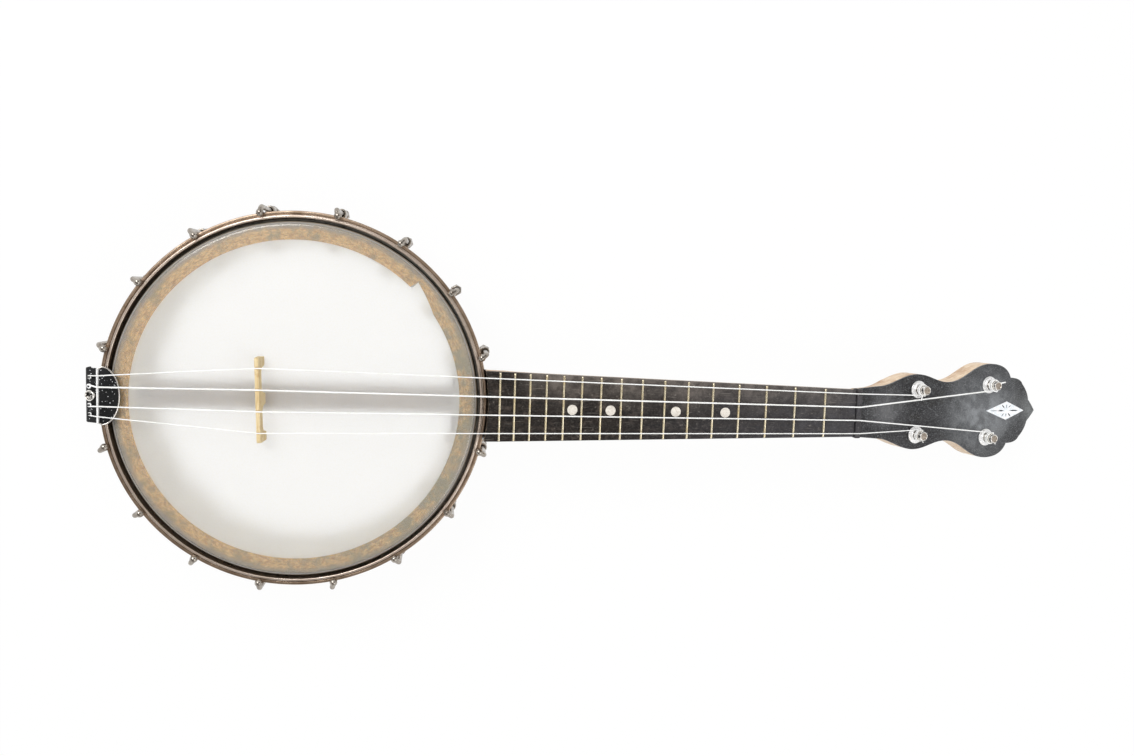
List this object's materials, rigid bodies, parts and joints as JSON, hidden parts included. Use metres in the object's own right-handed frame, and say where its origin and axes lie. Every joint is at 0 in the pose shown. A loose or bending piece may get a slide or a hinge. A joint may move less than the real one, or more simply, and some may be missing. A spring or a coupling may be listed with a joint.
{
  "type": "banjo ukulele",
  "caption": "Open-back banjo ukulele with a frosted drumhead under a grooved hook-and-shoe tension hoop, fretted neck on a dowel stick, floating bridge, tailpiece and friction tuners",
  "frame": {"origin": "centre of the whole instrument's box in X and Y, at the level of the rim's back edge, which is the box's bottom", "axes": "+X along the neck from the pot to the headstock, +Z out of the drumhead towards the strings, +Y across the strings, to the side of the first string"},
  "size_m": [0.5858, 0.2238, 0.0681],
  "materials": {
    "rim_wood": "satin varnished bent maple",
    "head_film": "clear-frosted polyester film",
    "flesh_hoop_metal": "dull extruded hoop",
    "aged_nickel": "aged nickel plate, browned in the recesses",
    "neck_wood": "satin varnished hardwood",
    "dark_wood": "dark dyed hardwood, worn",
    "dowel_wood": "oiled hardwood",
    "pearl": "pearl with engraved rays",
    "bright_nickel": "bright nickel plate",
    "tuner_buttons": "cream plastic button on a nickel post",
    "bridge_wood": "bare golden maple",
    "nylon": "clear white nylon"
  },
  "bodies": {
    "instrument": {"rim": "rim_wood", "drumhead": "head_film", "flesh_hoop": "flesh_hoop_metal", "tension_hoop": "aged_nickel", "hook_01": "aged_nickel", "hook_02": "aged_nickel", "hook_03": "aged_nickel", "hook_04": "aged_nickel", "hook_05": "aged_nickel", "hook_06": "aged_nickel", "hook_07": "aged_nickel", "hook_08": "aged_nickel", "hook_09": "aged_nickel", "hook_10": "aged_nickel", "hook_11": "aged_nickel", "hook_12": "aged_nickel", "hook_13": "aged_nickel", "hook_14": "aged_nickel", "hook_15": "aged_nickel", "hook_16": "aged_nickel", "shoe_01": "aged_nickel", "shoe_02": "aged_nickel", "shoe_03": "aged_nickel", "shoe_04": "aged_nickel", "shoe_05": "aged_nickel", "shoe_06": "aged_nickel", "shoe_07": "aged_nickel", "shoe_08": "aged_nickel", "shoe_09": "aged_nickel", "shoe_10": "aged_nickel", "shoe_11": "aged_nickel", "shoe_12": "aged_nickel", "shoe_13": "aged_nickel", "shoe_14": "aged_nickel", "shoe_15": "aged_nickel", "shoe_16": "aged_nickel", "neck_brace": "aged_nickel", "neck": "neck_wood", "fretboard": "dark_wood", "string_nut": "dark_wood", "headstock_face": "dark_wood", "dowel_stick": "dowel_wood", "diamond_inlay": "pearl", "tuner_bushing_1": "bright_nickel", "tuner_bushing_2": "bright_nickel", "tuner_bushing_3": "bright_nickel", "tuner_bushing_4": "bright_nickel", "tailpiece": "bright_nickel", "tailpiece_hanger": "bright_nickel", "tailpiece_screw": "bright_nickel", "end_bolt": "bright_nickel", "string_1": "nylon", "string_2": "nylon", "string_3": "nylon", "string_4": "nylon"},
    "bridge": {"bridge": "bridge_wood"},
    "tuner_1": {"tuner_1": "tuner_buttons"},
    "tuner_2": {"tuner_2": "tuner_buttons"},
    "tuner_3": {"tuner_3": "tuner_buttons"},
    "tuner_4": {"tuner_4": "tuner_buttons"}
  },
  "joints": [
    {"name": "tuner_turn_1", "type": "hinge", "parent": "instrument", "child": "tuner_1", "pos_m": [0.19758, 0.0143, 0.048], "axis": [0.2215, 0, 0.9751], "continuous": true},
    {"name": "tuner_turn_2", "type": "hinge", "parent": "instrument", "child": "tuner_2", "pos_m": [0.25306, 0.0171, 0.03539], "axis": [0.2215, 0, 0.9751], "continuous": true},
    {"name": "tuner_turn_3", "type": "hinge", "parent": "instrument", "child": "tuner_3", "pos_m": [0.25306, -0.0171, 0.03539], "axis": [0.2215, 0, 0.9751], "continuous": true},
    {"name": "tuner_turn_4", "type": "hinge", "parent": "instrument", "child": "tuner_4", "pos_m": [0.19758, -0.0143, 0.048], "axis": [0.2215, 0, 0.9751], "continuous": true},
    {"name": "bridge_slide", "type": "slide", "parent": "instrument", "child": "bridge", "axis": [1, 0, 0], "range_m": [-0.003, 0.003]}
  ]
}
